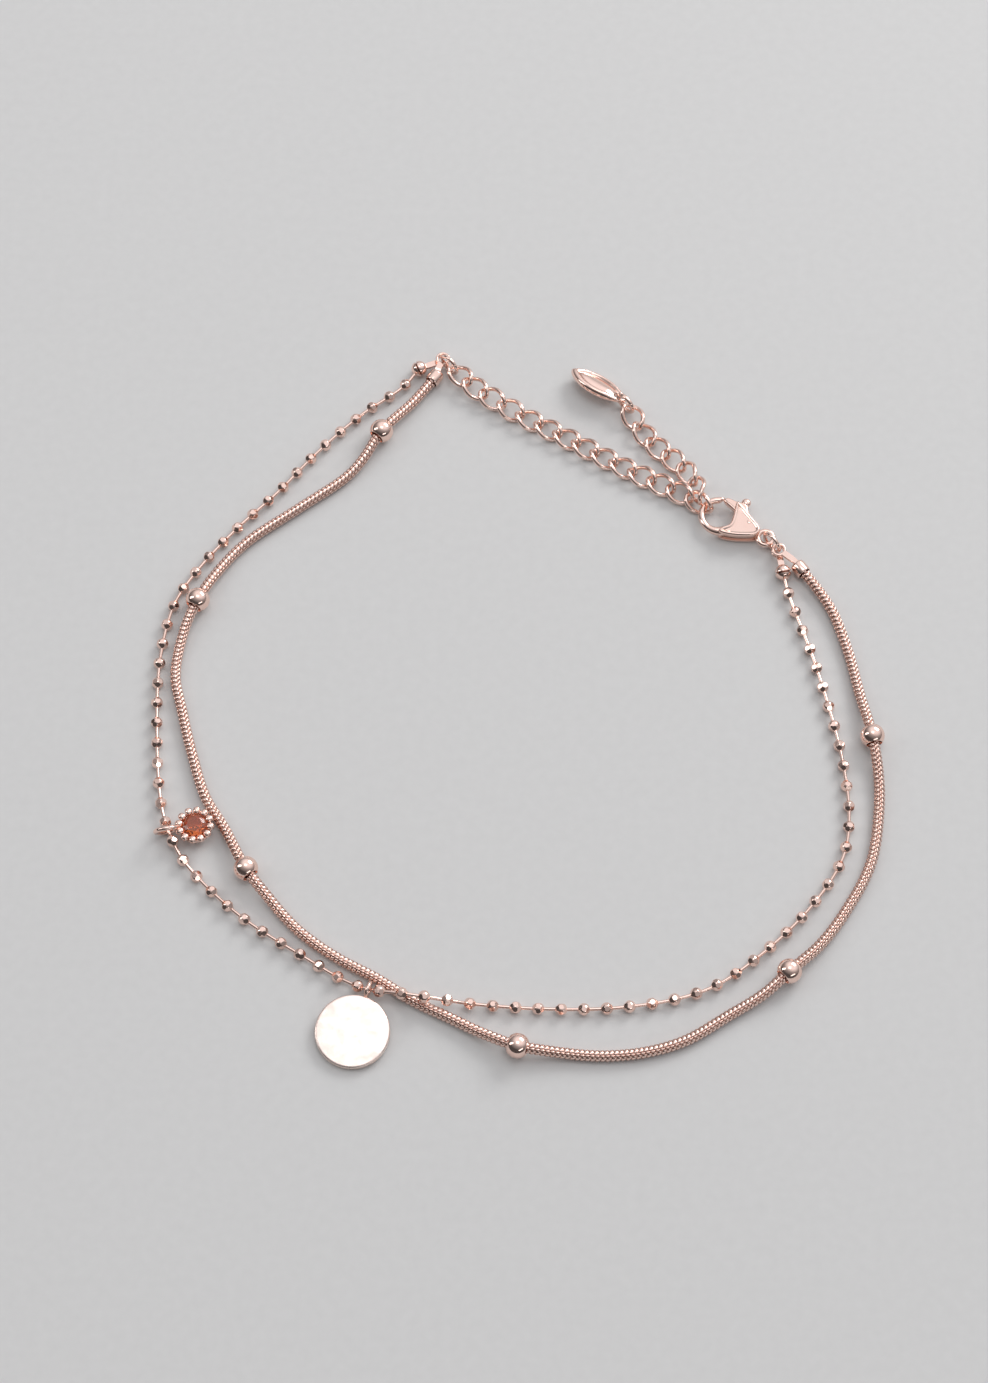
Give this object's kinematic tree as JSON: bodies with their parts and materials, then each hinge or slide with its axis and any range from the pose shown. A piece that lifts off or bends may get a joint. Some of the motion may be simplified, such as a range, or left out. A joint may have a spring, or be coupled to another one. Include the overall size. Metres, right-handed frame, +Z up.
{
  "type": "charm anklet",
  "caption": "Charm anklet of a ball chain and a snake chain with round beads, a disc charm and a stone charm, closed by a lobster clasp on an extension chain.",
  "frame": {"origin": "centre of the plan outline, on the table the anklet lies on", "axes": "+Z up from the table, +X to the right and +Y to the back of the laid-out loop, where its two ends are"},
  "size_m": [0.0808, 0.0868, 0.003],
  "materials": {
    "polished_gold": "mirror-polished rose gold",
    "satin_gold": "satin rose gold",
    "red_stone": "faceted red stone"
  },
  "bodies": {
    "anklet": {"ball_chain_left": "polished_gold", "ball_chain_right": "polished_gold", "snake_chain_left": "polished_gold", "snake_chain_right": "polished_gold", "round_bead_1": "polished_gold", "round_bead_2": "polished_gold", "round_bead_3": "polished_gold", "round_bead_4": "polished_gold", "round_bead_5": "polished_gold", "round_bead_6": "polished_gold", "jump_ring_left": "polished_gold", "jump_ring_right": "polished_gold", "ball_end_left": "polished_gold", "ball_end_right": "polished_gold", "snake_end_left": "polished_gold", "snake_end_right": "polished_gold", "chain_link_01": "polished_gold", "chain_link_02": "polished_gold", "chain_link_03": "polished_gold", "chain_link_04": "polished_gold", "chain_link_05": "polished_gold", "chain_link_06": "polished_gold", "chain_link_07": "polished_gold", "chain_link_08": "polished_gold", "chain_link_09": "polished_gold", "chain_link_10": "polished_gold", "chain_link_11": "polished_gold", "chain_link_12": "polished_gold", "chain_link_13": "polished_gold", "chain_link_14": "polished_gold", "tail_link_1": "polished_gold", "tail_link_2": "polished_gold", "tail_link_3": "polished_gold", "tail_link_4": "polished_gold", "tail_link_5": "polished_gold", "tail_link_6": "polished_gold", "tail_ring": "polished_gold", "end_drop": "polished_gold", "disc_charm": "satin_gold", "stone_setting": "polished_gold", "stone": "red_stone", "clasp_body": "polished_gold"},
    "lever": {"clasp_lever": "polished_gold"}
  },
  "joints": [
    {"name": "clasp_lever_hinge", "type": "hinge", "parent": "anklet", "child": "lever", "pos_m": [0.02646, 0.02088, 0.00095], "axis": [0, 0, 1], "range_deg": [0, 25], "stiffness_Nm_per_rad": 0.008}
  ]
}
